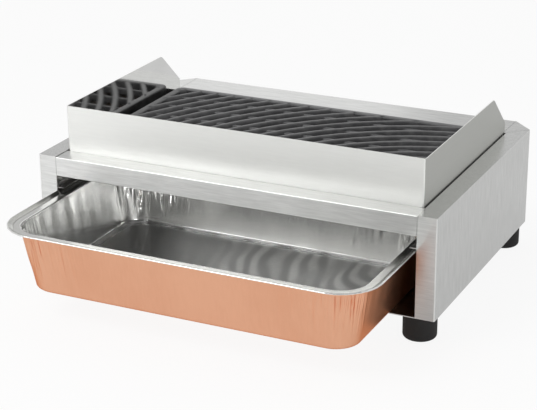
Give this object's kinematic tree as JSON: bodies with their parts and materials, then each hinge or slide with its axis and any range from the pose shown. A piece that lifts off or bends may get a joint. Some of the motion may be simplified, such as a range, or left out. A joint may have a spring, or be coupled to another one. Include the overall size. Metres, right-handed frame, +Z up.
{
  "type": "electric grill",
  "caption": "Table-top electric grill: steel housing on round feet, lift-out windscreen and curved-bar cooking grid over heating elements, and a slide-out drip tray.",
  "frame": {"origin": "on the floor under the middle of the whole grill's box, with the tray drawn out as in the picture", "axes": "+X to the right seen from the front, +Y from the front to the back, +Z up"},
  "size_m": [0.58, 0.5954, 0.242],
  "materials": {
    "outer_steel": "brushed stainless",
    "inner_steel": "mill finish",
    "fastener_steel": "zinc plated",
    "foot_rubber": "matt black",
    "element_steel": "heat-darkened",
    "ceramic": "unglazed ceramic",
    "brass_fittings": "turned",
    "gland_plastic": "fine grain",
    "lamp_lens": "clear amber",
    "wire_brown": "sleeved",
    "wire_blue": "sleeved",
    "wire_green": "sleeved",
    "wire_grey": "sleeved",
    "knob_plastic": "satin black",
    "windscreen_steel": "mirror-polished stainless",
    "grid_iron": "black enamel",
    "tray_foil": "copper lacquer outside, bright inside"
  },
  "bodies": {
    "housing": {"base_plate": "outer_steel", "side_panel_left": "outer_steel", "side_panel_right": "outer_steel", "side_liner_left": "inner_steel", "side_liner_right": "inner_steel", "front_rail": "outer_steel", "rear_panel": "outer_steel", "bulkhead": "inner_steel", "support_frame": "inner_steel", "tray_guide_left": "inner_steel", "tray_guide_right": "inner_steel", "foot_front_left": "foot_rubber", "foot_front_right": "foot_rubber", "foot_rear_left": "foot_rubber", "foot_rear_right": "foot_rubber", "foot_screws": "fastener_steel", "foot_nuts": "fastener_steel", "rear_panel_screws": "fastener_steel", "heating_element_left": "element_steel", "heating_element_right": "element_steel", "element_straps": "inner_steel", "element_collars": "brass_fittings", "element_nuts": "brass_fittings", "element_insulators": "ceramic", "element_terminals": "fastener_steel", "thermostat_body": "ceramic", "thermostat_nut": "brass_fittings", "dial_plate": "outer_steel", "sensor_bulb": "brass_fittings", "capillary_tube": "brass_fittings", "pilot_lamp_body": "ceramic", "pilot_lamp_lens": "lamp_lens", "lamp_leads": "wire_grey", "terminal_block": "ceramic", "terminal_screws": "brass_fittings", "earth_stud": "brass_fittings", "earth_nuts": "brass_fittings", "gland_body": "gland_plastic", "gland_lock_nut": "gland_plastic", "gland_dome_nut": "gland_plastic", "gland_seal": "gland_plastic", "wire_live_supply": "wire_brown", "wire_live_left": "wire_brown", "wire_live_right": "wire_brown", "wire_neutral_left": "wire_blue", "wire_neutral_right": "wire_blue", "wire_earth": "wire_green"},
    "knob": {"thermostat_spindle": "fastener_steel", "thermostat_knob": "knob_plastic"},
    "screen": {"windscreen": "windscreen_steel"},
    "grid": {"cooking_grid": "grid_iron"},
    "tray": {"drip_tray": "tray_foil"}
  },
  "joints": [
    {"name": "tray_slide", "type": "slide", "parent": "housing", "child": "tray", "axis": [0, -1, 0], "range_m": [-0.165, 0.18]},
    {"name": "screen_lift", "type": "slide", "parent": "housing", "child": "screen", "axis": [0, 0, 1], "range_m": [0, 0.1]},
    {"name": "grid_lift", "type": "slide", "parent": "housing", "child": "grid", "axis": [0, 0, 1], "range_m": [0, 0.12]},
    {"name": "knob_turn", "type": "hinge", "parent": "housing", "child": "knob", "pos_m": [-0.16, 0.2743, 0.12], "axis": [0, -1, 0], "range_deg": [0, 270]}
  ]
}
